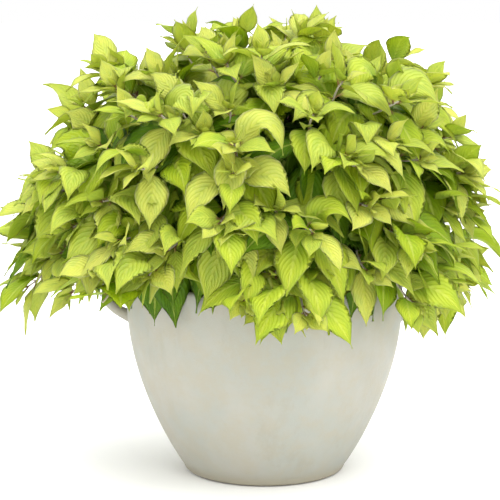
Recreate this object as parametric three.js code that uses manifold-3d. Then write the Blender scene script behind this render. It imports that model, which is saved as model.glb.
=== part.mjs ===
// A potted salvia: a round stone pot with two loop handles, filled with soil,
// and a mound of leafy shoots that grow from it on square stems.
// Millimetres, +Z up, the origin at the centre of the pot's flat underside.
// The front of the pot faces -Y and the handles are at -X and +X.
import * as THREE from "three";
import { mergeVertices } from "three/addons/utils/BufferGeometryUtils.js";
import Module from "manifold-3d";

const wasm = await Module();
wasm.setup();

// Clearance between pieces that touch
const GAP = 0.3;

// Pot
const POT_HEIGHT = 275;
const BELLY_RADIUS = 190;
const BELLY_HEIGHT = 240;
const BASE_RADIUS = 106;
const FOOT_ROUND = 7;
const WALL = 12;
const FLOOR = 16;
const BELLY_FULLNESS = 0.85;
const POT_SIDES = 36;
const DRAIN_HOLES = 3;
const DRAIN_RADIUS = 7;
const DRAIN_CIRCLE = 46;
const DRAIN_SIDES = 16;
const WALL_STEPS = 8;

// Handles
const HANDLE_BAR = 7;
const HANDLE_REACH = 34;
const HANDLE_SPAN = 50;
const HANDLE_DROP = 13;
const HANDLE_ROOT = 0.55 * WALL;
const HANDLE_FLARE = 0.3;
const HANDLE_SIDES = 8;
const HANDLE_STEPS = 8;

// Soil
const SOIL_DROP = 27;
const SOIL_CROWN = 6;
const SOIL_STEPS = 6;

// Shoots
const SHOOTS = 24;
const ROOT_DEPTH = 42;
const ROOT_CIRCLE = 118;
const ARCH_OVER_RIM = 150;
const STEM_HALF = 2.6;
const SHOOT_HALF = 1.9;
const LATERAL_HALF = 1.4;
const LATERALS_AT = [0.3, 0.58];
const LATERAL_SPREAD = 0.3;
const LATERAL_TURN = 1.9;
const LATERAL_BEND = 0.35;
const CLIMB_SHARE = 0.62;
const LEAN_SHARE = 0.03;
const ARCH_SHARE = 0.3;
const TIP_DROOP = 1.25;
const NEAR_TOP = 0.35;
const WOODY_PART = 0.5;
const STEM_STEPS = 6;
const SHOOT_STEPS = 4;
const LATERAL_STEPS = 3;

// Mound that the shoot tips reach
const MOUND_CENTRE_X = -18;
const MOUND_ABOVE_RIM = 30;
const MOUND_HALF_WIDTH = 300;
const MOUND_HALF_DEPTH = 280;
const MOUND_RISE = 304;
const MOUND_SQUARENESS = 2.5;
const LOWEST_SHOOT = 1.82;

// Leaves
const LEAF_BLADE = 72;
const LEAF_HALF_WIDTH = 20;
const LEAF_THICKNESS = 2;
const PETIOLE = 15;
const PETIOLE_HALF = 1.2;
const PETIOLE_LEAST = 0.4;
const WIDEST_AT = 0.36;
const LEAF_STEPS = 6;
const LEAF_SKYWARD = 0.8;
const LEAF_OUTWARD = 0.35;
const LEAF_TURNS = [0, 0.5, -0.5, 0.9, -0.9];
const FIRST_ROLL = 0.4;

const GOLDEN_ANGLE = Math.PI * (3 - Math.sqrt(5));
const UP = new THREE.Vector3(0, 0, 1);
const soil_top = POT_HEIGHT - SOIL_DROP;

// ---------------------------------------------------------------- solids

function solid_of(geometry) {
  const bare = geometry.clone();
  bare.deleteAttribute("normal");
  bare.deleteAttribute("uv");
  const merged = mergeVertices(bare, 1e-4);
  const corners = merged.index.array;
  const faces = [];
  for (let i = 0; i < corners.length; i += 3) {
    const [a, b, c] = [corners[i], corners[i + 1], corners[i + 2]];
    if (a !== b && b !== c && c !== a) faces.push(a, b, c);
  }
  const mesh = new wasm.Mesh({
    numProp: 3,
    vertProperties: new Float32Array(merged.attributes.position.array),
    triVerts: new Uint32Array(faces),
  });
  return new wasm.Manifold(mesh);
}

function geometry_of(solid) {
  const mesh = solid.getMesh();
  const geometry = new THREE.BufferGeometry();
  geometry.setAttribute("position", new THREE.BufferAttribute(mesh.vertProperties, 3));
  geometry.setIndex(new THREE.BufferAttribute(mesh.triVerts, 1));
  geometry.computeVertexNormals();
  return geometry;
}

// A lathe turns about +Y, so it is stood up on +Z
function turned(profile) {
  const points = profile.map(([radius, height]) => new THREE.Vector2(radius, height));
  return solid_of(new THREE.LatheGeometry(points, POT_SIDES).rotateX(Math.PI / 2));
}

function bar(path, sides, half, steps) {
  const corners = [];
  for (let i = 0; i < sides; i++) {
    const angle = ((i + 0.5) / sides) * 2 * Math.PI;
    const radius = half / Math.cos(Math.PI / sides);
    corners.push(new THREE.Vector2(radius * Math.cos(angle), radius * Math.sin(angle)));
  }
  const section = new THREE.Shape(corners);
  return solid_of(new THREE.ExtrudeGeometry(section, { steps, extrudePath: path }));
}

const stem_bar = (path, half, steps) => bar(path, 4, half, steps);

// A number between -1 and 1 that is the same every time for the same pair
function vary(index, salt) {
  const wave = Math.sin(index * 12.9898 + salt * 78.233) * 43758.5453;
  return 2 * (wave - Math.floor(wave)) - 1;
}

// ---------------------------------------------------------------- pot

// Outer radius of the pot's wall: a full curve up to the belly, then almost straight
function outer_radius(height) {
  const rise = Math.min(height / BELLY_HEIGHT, 1);
  const curve = Math.sin((rise * Math.PI) / 2) ** BELLY_FULLNESS;
  return BASE_RADIUS + (BELLY_RADIUS - BASE_RADIUS) * curve;
}

const inner_radius = (height) => outer_radius(height) - WALL;

function heights(from, to, count) {
  return Array.from({ length: count + 1 }, (_, i) => from + ((to - from) * i) / count);
}

// The pot's inner wall and the soil share these heights, so their facets lie side by side
const soil_heights = () => heights(FLOOR, soil_top, SOIL_STEPS);

function pot_body() {
  const foot = [
    [0, 0],
    [BASE_RADIUS - FOOT_ROUND * 0.6, 0],
    [outer_radius(FOOT_ROUND) - FOOT_ROUND * 0.35, FOOT_ROUND * 0.3],
  ];
  const lip = WALL / 2;
  const rim_base = POT_HEIGHT - lip;
  const outside = heights(FOOT_ROUND, rim_base, WALL_STEPS).map((z) => [outer_radius(z), z]);
  const rim = [0.25, 0.5, 0.75].map((turn) => {
    const angle = turn * Math.PI;
    return [outer_radius(rim_base) - lip + lip * Math.cos(angle), rim_base + lip * Math.sin(angle)];
  });
  const inside = [rim_base, ...soil_heights().reverse()].map((z) => [inner_radius(z), z]);
  return turned([...foot, ...outside, ...rim, ...inside, [0, FLOOR]]);
}

// A loop from the shoulder out and up to just under the rim, its ends buried in the wall
function handle(side) {
  const top_height = POT_HEIGHT - HANDLE_DROP;
  const foot_height = top_height - HANDLE_SPAN;
  const bow = BELLY_RADIUS + (HANDLE_REACH - HANDLE_BAR) * 1.5;
  const path = new THREE.CubicBezierCurve3(
    new THREE.Vector3(side * (outer_radius(foot_height) - HANDLE_ROOT), 0, foot_height),
    new THREE.Vector3(side * bow, 0, foot_height + HANDLE_SPAN * HANDLE_FLARE),
    new THREE.Vector3(side * bow, 0, top_height),
    new THREE.Vector3(side * (outer_radius(top_height) - HANDLE_ROOT), 0, top_height),
  );
  return bar(path, HANDLE_SIDES, HANDLE_BAR, HANDLE_STEPS);
}

// The room that fingers need inside the loop, which the leaves leave free
function finger_room(side) {
  const room = new THREE.BoxGeometry(HANDLE_REACH - 2 * HANDLE_BAR, 4 * HANDLE_BAR, HANDLE_SPAN / 2);
  const height = POT_HEIGHT - HANDLE_DROP - HANDLE_SPAN / 2;
  room.translate(side * (BELLY_RADIUS + HANDLE_REACH / 2 - HANDLE_BAR + 2 * GAP), 0, height + GAP);
  return solid_of(room);
}

function drain_hole(index) {
  const angle = (index / DRAIN_HOLES) * 2 * Math.PI + Math.PI / 2;
  const hole = new THREE.CylinderGeometry(DRAIN_RADIUS, DRAIN_RADIUS, FLOOR * 2, DRAIN_SIDES);
  hole.rotateX(Math.PI / 2);
  hole.translate(DRAIN_CIRCLE * Math.cos(angle), DRAIN_CIRCLE * Math.sin(angle), FLOOR / 2);
  return solid_of(hole);
}

function pot() {
  let whole = pot_body().add(handle(-1)).add(handle(1));
  for (let i = 0; i < DRAIN_HOLES; i++) whole = whole.subtract(drain_hole(i));
  return whole;
}

// ---------------------------------------------------------------- shoots

// A place on the mound: polar runs down from the top, azimuth runs round it
function on_mound(polar, azimuth) {
  const [across, upward] = [Math.sin(polar), Math.cos(polar)];
  const power = MOUND_SQUARENESS;
  const square = (Math.abs(across) ** power + Math.abs(upward) ** power) ** (-1 / power);
  return new THREE.Vector3(
    MOUND_CENTRE_X + MOUND_HALF_WIDTH * square * across * Math.cos(azimuth),
    MOUND_HALF_DEPTH * square * across * Math.sin(azimuth),
    POT_HEIGHT + MOUND_ABOVE_RIM + MOUND_RISE * square * upward,
  );
}

function shoot_polar(index) {
  const share = (index + 0.5) / SHOOTS;
  return Math.acos(1 - share * (1 - Math.cos(LOWEST_SHOOT)));
}

// The way a tip points: upright at the top of the mound, arching over at its edge
function tip_heading(polar, azimuth) {
  const lift = Math.PI / 2 - TIP_DROOP * polar;
  const level = Math.cos(lift);
  return new THREE.Vector3(level * Math.cos(azimuth), level * Math.sin(azimuth), Math.sin(lift));
}

// The whole line of a shoot, from its buried end to its tip
function shoot_line(index) {
  const azimuth = index * GOLDEN_ANGLE;
  const polar = shoot_polar(index);
  const outward = new THREE.Vector3(Math.cos(azimuth), Math.sin(azimuth), 0);
  const root_radius = ROOT_CIRCLE * Math.sqrt((index + 0.5) / SHOOTS);
  const root = outward.clone().multiplyScalar(root_radius).setZ(soil_top - ROOT_DEPTH);
  const tip = on_mound(polar, azimuth);
  const reach = tip.distanceTo(root);
  const climb = Math.max(CLIMB_SHARE * reach, ROOT_DEPTH + SOIL_DROP + ARCH_OVER_RIM);
  const rise = root.clone().addScaledVector(UP, climb).addScaledVector(outward, LEAN_SHARE * reach);
  const arch = tip.clone().addScaledVector(tip_heading(polar, azimuth), -ARCH_SHARE * reach);
  return new THREE.CubicBezierCurve3(root, rise, arch, tip);
}

// The stretch of a line between two shares of it, by De Casteljau's rule
function stretch(line, from, to) {
  const blend = (a, b, t) => a.clone().lerp(b, t);
  const blossom = (r, s, t) => {
    const [p, q, u] = [blend(line.v0, line.v1, r), blend(line.v1, line.v2, r), blend(line.v2, line.v3, r)];
    return blend(blend(p, q, s), blend(q, u, s), t);
  };
  return new THREE.CubicBezierCurve3(
    blossom(from, from, from),
    blossom(from, from, to),
    blossom(from, to, to),
    blossom(to, to, to),
  );
}

// The middle of a faceted bar, which runs straight from step to step
function middle_of(line, steps, share) {
  const points = line.getSpacedPoints(steps);
  const step = Math.min(Math.floor(share * steps), steps - 1);
  return points[step].clone().lerp(points[step + 1], share * steps - step);
}

// A side shoot leaves the main one and ends on the mound beside its tip
function lateral_line(index, axis, which) {
  const start = middle_of(axis, SHOOT_STEPS, LATERALS_AT[which]);
  const turn = index * LATERAL_TURN + which * Math.PI;
  const polar = Math.min(Math.abs(shoot_polar(index) + LATERAL_SPREAD * Math.cos(turn)), LOWEST_SHOOT);
  const sideways = (LATERAL_SPREAD * Math.sin(turn)) / Math.max(Math.sin(polar), NEAR_TOP);
  const azimuth = index * GOLDEN_ANGLE + sideways;
  const tip = on_mound(polar, azimuth);
  const reach = tip.distanceTo(start);
  const leaving = axis.getTangent(LATERALS_AT[which]).add(tip.clone().sub(start).normalize()).normalize();
  return new THREE.CubicBezierCurve3(
    start,
    start.clone().addScaledVector(leaving, LATERAL_BEND * reach),
    tip.clone().addScaledVector(tip_heading(polar, azimuth), -LATERAL_BEND * reach),
    tip,
  );
}

// ---------------------------------------------------------------- leaves

// A leaf arches out from its stem and hangs under its own weight.
// Its section is a shallow V with the midrib as a keel below.
function leaf({ base, heading, facing, size, hang }) {
  const blade = LEAF_BLADE * size;
  const petiole = PETIOLE * (PETIOLE_LEAST + (1 - PETIOLE_LEAST) * size);
  const length = petiole + blade;
  const outline = [
    [0, 0],
    [PETIOLE_HALF, petiole],
    [LEAF_HALF_WIDTH * size, petiole + WIDEST_AT * blade],
    [0, length],
  ];
  const points = outline.map(([half, along]) => new THREE.Vector2(half, along));
  const blank = new THREE.LatheGeometry(points, 3, Math.PI);
  const place = blank.attributes.position;
  const widest = LEAF_HALF_WIDTH * size;
  const flatten = LEAF_THICKNESS / 1.5 / widest;
  for (let i = 0; i < place.count; i++) {
    const along = place.getY(i);
    const middle = base.clone();
    const direction = heading.clone();
    for (let step = 0; step < LEAF_STEPS; step++) {
      direction.copy(heading).addScaledVector(UP, (-hang * (step + 0.5) * along) / LEAF_STEPS / length);
      middle.addScaledVector(direction.normalize(), along / LEAF_STEPS);
    }
    direction.copy(heading).addScaledVector(UP, (-hang * along) / length).normalize();
    const side = direction.clone().cross(facing).normalize();
    const normal = side.clone().cross(direction);
    const narrow = along > petiole * 1.01 ? flatten : 1;
    middle.addScaledVector(side, place.getX(i) / Math.cos(Math.PI / 6));
    middle.addScaledVector(normal, place.getZ(i) * narrow);
    place.setXYZ(i, middle.x, middle.y, middle.z);
  }
  return solid_of(blank);
}

// ---------------------------------------------------------------- assembly

const placed = [];

function boxes_meet(a, b) {
  return [0, 1, 2].every((axis) => a.min[axis] < b.max[axis] + 1 && b.min[axis] < a.max[axis] + 1);
}

function keep(owner, solid) {
  placed.push({ owner, solid, box: solid.boundingBox() });
}

function is_clear(owner, solid) {
  const box = solid.boundingBox();
  const close = placed.filter((other) => other.owner !== owner && boxes_meet(box, other.box));
  return close.every((other) => solid.minGap(other.solid, 2 * GAP) >= GAP);
}

const number = (index) => String(index + 1).padStart(2, "0");

const stems = [];
const shoots = [];
for (let i = 0; i < SHOOTS; i++) {
  const line = shoot_line(i);
  const joint_gap = GAP / line.getLength();
  const solid = stem_bar(stretch(line, 0, WOODY_PART), STEM_HALF, STEM_STEPS);
  stems.push({ name: `stem_${number(i)}`, line, solid });
  const axis = stretch(line, WOODY_PART + joint_gap, 1);
  const pieces = [stem_bar(axis, SHOOT_HALF, SHOOT_STEPS)];
  shoots.push({ name: `shoot_${number(i)}`, index: i, axes: [axis], pieces });
}

// The soil fills the pot to its inner wall and is pierced where each stem stands in it
function soil() {
  const edge = inner_radius(soil_top) - GAP;
  const wall = soil_heights().map((z) => [inner_radius(z) - GAP, Math.max(z, FLOOR + GAP)]);
  const crown = [[edge * 0.6, soil_top + SOIL_CROWN * 0.7], [0, soil_top + SOIL_CROWN]];
  let body = turned([[0, FLOOR + GAP], ...wall, ...crown]);
  for (const stem of stems) {
    const root = stretch(stem.line, 0, WOODY_PART);
    root.v0.z -= GAP;
    body = body.subtract(stem_bar(root, STEM_HALF + GAP, STEM_STEPS));
  }
  return body;
}

const pot_solid = pot();
const soil_solid = soil();
keep("pot", pot_solid);
keep("soil", soil_solid);
keep("finger room", finger_room(-1));
keep("finger room", finger_room(1));
for (const stem of stems) keep(stem.name, stem.solid);
for (const shoot of shoots) keep(shoot.name, shoot.pieces[0]);

function add_if_clear(shoot, tries) {
  for (const attempt of tries) {
    const solid = attempt();
    if (!is_clear(shoot.name, solid)) continue;
    shoot.pieces.push(solid);
    keep(shoot.name, solid);
    return true;
  }
  return false;
}

for (const which of [0, 1]) {
  for (const shoot of shoots) {
    const line = lateral_line(shoot.index, shoot.axes[0], which);
    if (add_if_clear(shoot, [() => stem_bar(line, LATERAL_HALF, LATERAL_STEPS)])) shoot.axes.push(line);
  }
}

// Opposite leaves, each pair square to the last: place along the axis, leaf size, lift of the leaf
const MAIN_PAIRS = [
  { at: 0.98, size: 0.5, lift: 0.9 },
  { at: 0.86, size: 0.85, lift: 0.45 },
  { at: 0.66, size: 1, lift: 0.25 },
];
const LATERAL_PAIRS = [
  { at: 0.98, size: 0.55, lift: 0.8 },
  { at: 0.7, size: 0.92, lift: 0.3 },
];

const mound_middle = new THREE.Vector3(MOUND_CENTRE_X, 0, POT_HEIGHT + MOUND_ABOVE_RIM);

function leaf_pair(shoot, axis, steps, pair, order) {
  const base = middle_of(axis, steps, pair.at);
  const along = axis.getTangent(pair.at);
  const outward = base.clone().sub(mound_middle).normalize();
  const facing = outward.clone().addScaledVector(UP, LEAF_SKYWARD).normalize();
  const across = along.clone().cross(UP).normalize();
  const over = across.clone().cross(along);
  for (const opposite of [0, 1]) {
    const salt = order * 2 + opposite;
    const tries = LEAF_TURNS.map((twist) => () => {
      const roll = order * (Math.PI / 2) + opposite * Math.PI + FIRST_ROLL + twist;
      const sideways = across.clone().multiplyScalar(Math.cos(roll)).addScaledVector(over, Math.sin(roll));
      const heading = sideways.addScaledVector(along, pair.lift).addScaledVector(outward, LEAF_OUTWARD);
      const size = pair.size * (1 + 0.1 * vary(shoot.index, salt));
      const hang = (1.5 - pair.lift) * (0.8 + 0.3 * vary(shoot.index, salt + 40));
      return leaf({ base, heading: heading.normalize(), facing, size, hang });
    });
    add_if_clear(shoot, tries);
  }
}

for (let order = 0; order < MAIN_PAIRS.length; order++) {
  for (const shoot of shoots) {
    leaf_pair(shoot, shoot.axes[0], SHOOT_STEPS, MAIN_PAIRS[order], order);
    const lateral_pair = LATERAL_PAIRS[order];
    if (!lateral_pair) continue;
    for (const axis of shoot.axes.slice(1)) leaf_pair(shoot, axis, LATERAL_STEPS, lateral_pair, order);
  }
}

// ---------------------------------------------------------------- materials and scene graph

const stone = () => new THREE.MeshStandardMaterial({ color: 0xd2d1c4, roughness: 0.75, metalness: 0 });
const earth = () => new THREE.MeshStandardMaterial({ color: 0x3b2a1e, roughness: 1, metalness: 0 });
const bark = () => new THREE.MeshStandardMaterial({ color: 0x8a7a60, roughness: 0.8, metalness: 0 });
const lime_leaf = () => new THREE.MeshStandardMaterial({ color: 0xb4c83a, roughness: 0.6, metalness: 0 });

const potted_salvia = new THREE.Group();

function add_node(name, solid, material) {
  const mesh = new THREE.Mesh(geometry_of(solid), material);
  mesh.name = name;
  potted_salvia.add(mesh);
}

add_node("pot", pot_solid, stone());
add_node("soil", soil_solid, earth());
for (const stem of stems) add_node(stem.name, stem.solid, bark());
for (const shoot of shoots) {
  const whole = shoot.pieces.reduce((joined, piece) => joined.add(piece));
  add_node(shoot.name, whole, lime_leaf());
}

export default potted_salvia;
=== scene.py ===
"""A potted salvia: a lime-leaved plant mounded wide over a round, pale stone pot with two loop handles.

Laid out as an add-on: each operator makes one piece or one group of like pieces, and main() runs them in
order.
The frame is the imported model, in metres: +Z up, the origin under the pot's middle, the front towards -Y.
"""

import math

import bpy
import numpy as np
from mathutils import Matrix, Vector


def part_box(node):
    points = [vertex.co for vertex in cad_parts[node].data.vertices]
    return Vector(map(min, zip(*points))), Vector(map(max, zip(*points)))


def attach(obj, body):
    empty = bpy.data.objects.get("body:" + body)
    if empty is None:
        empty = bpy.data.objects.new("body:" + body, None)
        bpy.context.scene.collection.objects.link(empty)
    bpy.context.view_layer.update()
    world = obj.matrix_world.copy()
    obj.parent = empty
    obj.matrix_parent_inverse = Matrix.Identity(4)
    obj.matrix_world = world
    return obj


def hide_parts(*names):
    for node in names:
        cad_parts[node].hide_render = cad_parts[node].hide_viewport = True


bl_info = {
    "name": "Potted salvia",
    "version": (1, 0, 0),
    "blender": (4, 5, 0),
    "location": "3D View > Sidebar > Salvia",
    "description": "Builds a potted salvia with its stone pot, soil, stems and leaves",
    "category": "Object",
}

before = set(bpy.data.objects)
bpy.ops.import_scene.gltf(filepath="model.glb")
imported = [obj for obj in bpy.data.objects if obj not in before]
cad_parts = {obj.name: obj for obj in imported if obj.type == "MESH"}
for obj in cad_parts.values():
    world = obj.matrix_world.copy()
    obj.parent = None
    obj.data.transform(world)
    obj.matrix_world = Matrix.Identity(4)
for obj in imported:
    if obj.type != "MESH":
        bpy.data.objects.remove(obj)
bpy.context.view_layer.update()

ROOT = "root"
GOLDEN_ANGLE = math.pi * (3 - math.sqrt(5))
pot_low, pot_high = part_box("pot")
shoot_names = sorted(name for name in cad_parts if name.startswith("shoot_"))


# ---------------------------------------------------------------- settings


class SalviaPotSettings(bpy.types.PropertyGroup):
    height: bpy.props.FloatProperty(
        name="Height", description="Height of the rim", default=pot_high.z, unit="LENGTH"
    )
    belly_radius: bpy.props.FloatProperty(
        name="Belly radius", description="Outer radius at the belly", default=pot_high.y, unit="LENGTH"
    )
    belly_height: bpy.props.FloatProperty(
        name="Belly height", description="Height of the belly", default=0.240, unit="LENGTH"
    )
    base_radius: bpy.props.FloatProperty(
        name="Base radius", description="Outer radius of the base", default=0.106, unit="LENGTH"
    )
    foot_round: bpy.props.FloatProperty(
        name="Foot rounding", description="Rounding of the bottom edge", default=0.007, unit="LENGTH"
    )
    wall: bpy.props.FloatProperty(
        name="Wall", description="Thickness of the wall", default=0.012, unit="LENGTH"
    )
    floor: bpy.props.FloatProperty(
        name="Floor", description="Thickness of the floor", default=0.016, unit="LENGTH"
    )
    fullness: bpy.props.FloatProperty(
        name="Fullness", description="Power that swells the wall's curve", default=0.85
    )
    handle_bar: bpy.props.FloatProperty(
        name="Handle bar", description="Radius of the loop handles' bar", default=0.007, unit="LENGTH"
    )
    handle_reach: bpy.props.FloatProperty(
        name="Handle reach", description="How far the handles stand out past the belly", default=0.034,
        unit="LENGTH"
    )
    handle_span: bpy.props.FloatProperty(
        name="Handle span", description="Height between the two ends of a handle", default=0.050,
        unit="LENGTH"
    )
    handle_drop: bpy.props.FloatProperty(
        name="Handle drop", description="Depth of a handle's upper end below the rim", default=0.013,
        unit="LENGTH"
    )
    drain_radius: bpy.props.FloatProperty(
        name="Drain hole radius", description="Radius of each drain hole", default=0.007, unit="LENGTH"
    )
    drain_circle: bpy.props.FloatProperty(
        name="Drain hole circle", description="Radius of the circle of drain holes", default=0.046,
        unit="LENGTH"
    )
    drain_holes: bpy.props.IntProperty(
        name="Drain holes", description="Number of drain holes", default=3, min=1
    )
    stone: bpy.props.FloatVectorProperty(
        name="Stone", description="Colour of the stone", subtype="COLOR", size=3,
        default=(0.39, 0.38, 0.332)
    )


class SalviaSoilSettings(bpy.types.PropertyGroup):
    surface: bpy.props.FloatProperty(
        name="Surface", description="Height of the soil at the pot's wall", default=0.248, unit="LENGTH"
    )
    crown: bpy.props.FloatProperty(
        name="Crown", description="How much higher the soil is in the middle", default=0.005, unit="LENGTH"
    )
    crumbs: bpy.props.IntProperty(
        name="Crumbs", description="Number of bark chips and lumps on the soil", default=160, min=1
    )
    earth: bpy.props.FloatVectorProperty(
        name="Earth", description="Colour of damp soil", subtype="COLOR", size=3,
        default=(0.040, 0.024, 0.014)
    )


class SalviaPlantSettings(bpy.types.PropertyGroup):
    root_depth: bpy.props.FloatProperty(
        name="Root depth", description="How deep the stems stand in the soil", default=0.042, unit="LENGTH"
    )
    root_circle: bpy.props.FloatProperty(
        name="Root circle", description="Radius of the patch the stems rise from", default=0.118,
        unit="LENGTH"
    )
    arch: bpy.props.FloatProperty(
        name="Arch", description="How high the stems climb before they lean over the rim", default=0.150,
        unit="LENGTH"
    )
    mound_x: bpy.props.FloatProperty(
        name="Mound offset", description="Sideways offset of the mound", default=-0.018, unit="LENGTH"
    )
    mound_height: bpy.props.FloatProperty(
        name="Mound middle", description="Height of the mound's middle above the rim", default=0.030,
        unit="LENGTH"
    )
    mound_half: bpy.props.FloatVectorProperty(
        name="Mound size", description="Half width, half depth and rise of the mound",
        default=(0.300, 0.280, 0.297), unit="LENGTH"
    )
    squareness: bpy.props.FloatProperty(
        name="Squareness", description="Power of the outline that the main shoots reach, 2 is round",
        default=2.5
    )
    side_squareness: bpy.props.FloatProperty(
        name="Side squareness", description="Power of the outline that the side shoots fill",
        default=2.90
    )
    lopsided: bpy.props.FloatProperty(
        name="Lopsided", description="How much squarer the mound is on the right than on the left",
        default=0.50
    )
    side_lowest: bpy.props.FloatProperty(
        name="Lowest side shoot", description="Angle from the top to the lowest side shoot in front",
        default=1.70, subtype="ANGLE"
    )
    side_droop: bpy.props.FloatProperty(
        name="Side droop", description="How much lower the side shoots go at the left and the right",
        default=0.11, subtype="ANGLE"
    )
    left_reach: bpy.props.FloatProperty(
        name="Left reach", description="Share by which the low side shoots reach further out on the left",
        default=0.034, subtype="FACTOR"
    )
    fringe: bpy.props.FloatProperty(
        name="Fringe", description="How far below the rim the leaves may hang", default=0.062, unit="LENGTH"
    )
    handle_window: bpy.props.FloatProperty(
        name="Handle window", description="Half width of the gap in the fringe at the left handle",
        default=0.050, unit="LENGTH"
    )
    lowest: bpy.props.FloatProperty(
        name="Lowest shoot", description="Angle from the top to the lowest shoot", default=1.72,
        subtype="ANGLE"
    )
    side_shoots: bpy.props.IntProperty(
        name="Side shoots", description="Number of side shoots on the whole plant", default=132, min=1
    )
    stem_radius: bpy.props.FloatProperty(
        name="Stem", description="Half thickness of a woody stem", default=0.0026, unit="LENGTH"
    )
    young_radius: bpy.props.FloatProperty(
        name="Young stem", description="Half thickness of a stem at its tip", default=0.0011, unit="LENGTH"
    )


class SalviaLeafSettings(bpy.types.PropertyGroup):
    blade: bpy.props.FloatProperty(
        name="Blade", description="Length of a full-grown leaf blade", default=0.088, unit="LENGTH"
    )
    half_width: bpy.props.FloatProperty(
        name="Half width", description="Half width of a full-grown leaf", default=0.0250, unit="LENGTH"
    )
    petiole: bpy.props.FloatProperty(
        name="Leaf stalk", description="Length of a full-grown leaf's stalk", default=0.015, unit="LENGTH"
    )
    twist: bpy.props.FloatProperty(
        name="Twist", description="The most that a blade turns by its tip", default=0.5, subtype="ANGLE"
    )
    young: bpy.props.FloatVectorProperty(
        name="Young", description="Colour of a tip leaf", subtype="COLOR", size=3,
        default=(0.78, 0.79, 0.055)
    )
    grown: bpy.props.FloatVectorProperty(
        name="Grown", description="Colour of a full-grown leaf", subtype="COLOR", size=3,
        default=(0.60, 0.69, 0.006)
    )
    # The shaded colour is darker green for older leaves and, deep in the mound, painted shade.
    shaded: bpy.props.FloatVectorProperty(
        name="Shaded", description="Colour of an inner leaf", subtype="COLOR", size=3,
        default=(0.11, 0.25, 0.001)
    )


class SalviaStageSettings(bpy.types.PropertyGroup):
    camera_distance: bpy.props.FloatProperty(
        name="Camera distance", description="From the camera to the pot's axis", default=2.60, unit="LENGTH"
    )
    camera_height: bpy.props.FloatProperty(
        name="Camera height", description="Height of the camera", default=0.72, unit="LENGTH"
    )
    aim_x: bpy.props.FloatProperty(
        name="Aim sideways", description="Where the camera looks, sideways", default=-0.020, unit="LENGTH"
    )
    aim_z: bpy.props.FloatProperty(
        name="Aim height", description="Height that the camera looks at", default=0.305, unit="LENGTH"
    )
    picture_width: bpy.props.FloatProperty(
        name="Picture width", description="Width of the view at the pot's axis", default=0.688,
        unit="LENGTH"
    )
    fill: bpy.props.FloatProperty(
        name="Fill light", description="Strength of the light from all round", default=1.3
    )
    key: bpy.props.FloatProperty(
        name="Key light", description="Strength of the light from the front right", default=2.3
    )
    top: bpy.props.FloatProperty(
        name="Top light", description="Strength of the light from above", default=1.7
    )


# ---------------------------------------------------------------- small helpers


def vary(index, salt):
    """A number between -1 and 1 that is the same every time for the same pair."""
    wave = math.sin(index * 12.9898 + salt * 78.233) * 43758.5453
    return 2 * (wave - math.floor(wave)) - 1


def unit(vector):
    return vector / max(np.linalg.norm(vector), 1e-9)


def turned(vector, angle):
    """The vector turned about the Z axis."""
    cos, sin = math.cos(angle), math.sin(angle)
    return np.array((cos * vector[0] - sin * vector[1], sin * vector[0] + cos * vector[1], vector[2]))


def deselect():
    if bpy.context.mode != "OBJECT":
        bpy.ops.object.mode_set(mode="OBJECT")
    bpy.ops.object.select_all(action="DESELECT")


def pick(piece):
    deselect()
    piece.select_set(True)
    bpy.context.view_layer.objects.active = piece


def apply_place(piece):
    pick(piece)
    bpy.ops.object.transform_apply(location=True, rotation=True, scale=True)


def apply_modifier(piece, kind, name, **values):
    pick(piece)
    modifier = piece.modifiers.new(name, kind)
    for key, value in values.items():
        setattr(modifier, key, value)
    bpy.ops.object.modifier_apply(modifier=modifier.name)


def join(pieces):
    deselect()
    for piece in pieces:
        piece.select_set(True)
    bpy.context.view_layer.objects.active = pieces[0]
    bpy.ops.object.join()
    return bpy.context.object


def finish_piece(piece, name, material, slot, *nodes):
    piece.name = name
    piece.data.name = name
    piece.data.materials.clear()
    piece.data.materials.append(material)
    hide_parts(*nodes)
    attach(piece, ROOT)
    return piece


def remove(piece):
    data = piece.data
    bpy.data.objects.remove(piece)
    if isinstance(data, bpy.types.Mesh):
        bpy.data.meshes.remove(data)


def spun(section, steps):
    """A closed outline of (radius, height) corners turned about the Z axis."""
    deselect()
    bpy.ops.mesh.primitive_circle_add(vertices=len(section), fill_type="NOTHING")
    piece = bpy.context.object
    for corner, (radius, height) in zip(piece.data.vertices, section):
        corner.co = (radius, 0, height)
    bpy.ops.object.mode_set(mode="EDIT")
    bpy.ops.mesh.select_all(action="SELECT")
    bpy.ops.mesh.spin(steps=steps, angle=2 * math.pi, center=(0, 0, 0), axis=(0, 0, 1))
    bpy.ops.mesh.select_all(action="SELECT")
    bpy.ops.mesh.remove_doubles(threshold=1e-6)
    bpy.ops.mesh.delete_loose()
    bpy.ops.mesh.select_all(action="SELECT")
    bpy.ops.mesh.normals_make_consistent(inside=False)
    bpy.ops.object.mode_set(mode="OBJECT")
    return piece


def bar_along(name, lines, section=None, bevel=0.0):
    """A solid bar along each line of (point, radius), as one mesh."""
    curve = bpy.data.curves.new(name, "CURVE")
    curve.dimensions = "3D"
    curve.twist_mode = "MINIMUM"
    curve.use_fill_caps = True
    if section is None:
        curve.bevel_depth = bevel
        curve.bevel_resolution = 4
    else:
        curve.bevel_mode = "OBJECT"
        curve.bevel_object = section
    for points, radii in lines:
        spline = curve.splines.new("POLY")
        spline.points.add(len(points) - 1)
        for place, point, radius in zip(spline.points, points, radii):
            place.co = (*point, 1)
            place.radius = radius
    piece = bpy.data.objects.new(name, curve)
    bpy.context.scene.collection.objects.link(piece)
    pick(piece)
    bpy.ops.object.convert(target="MESH")
    return bpy.context.object


# ---------------------------------------------------------------- shader nodes


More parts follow.
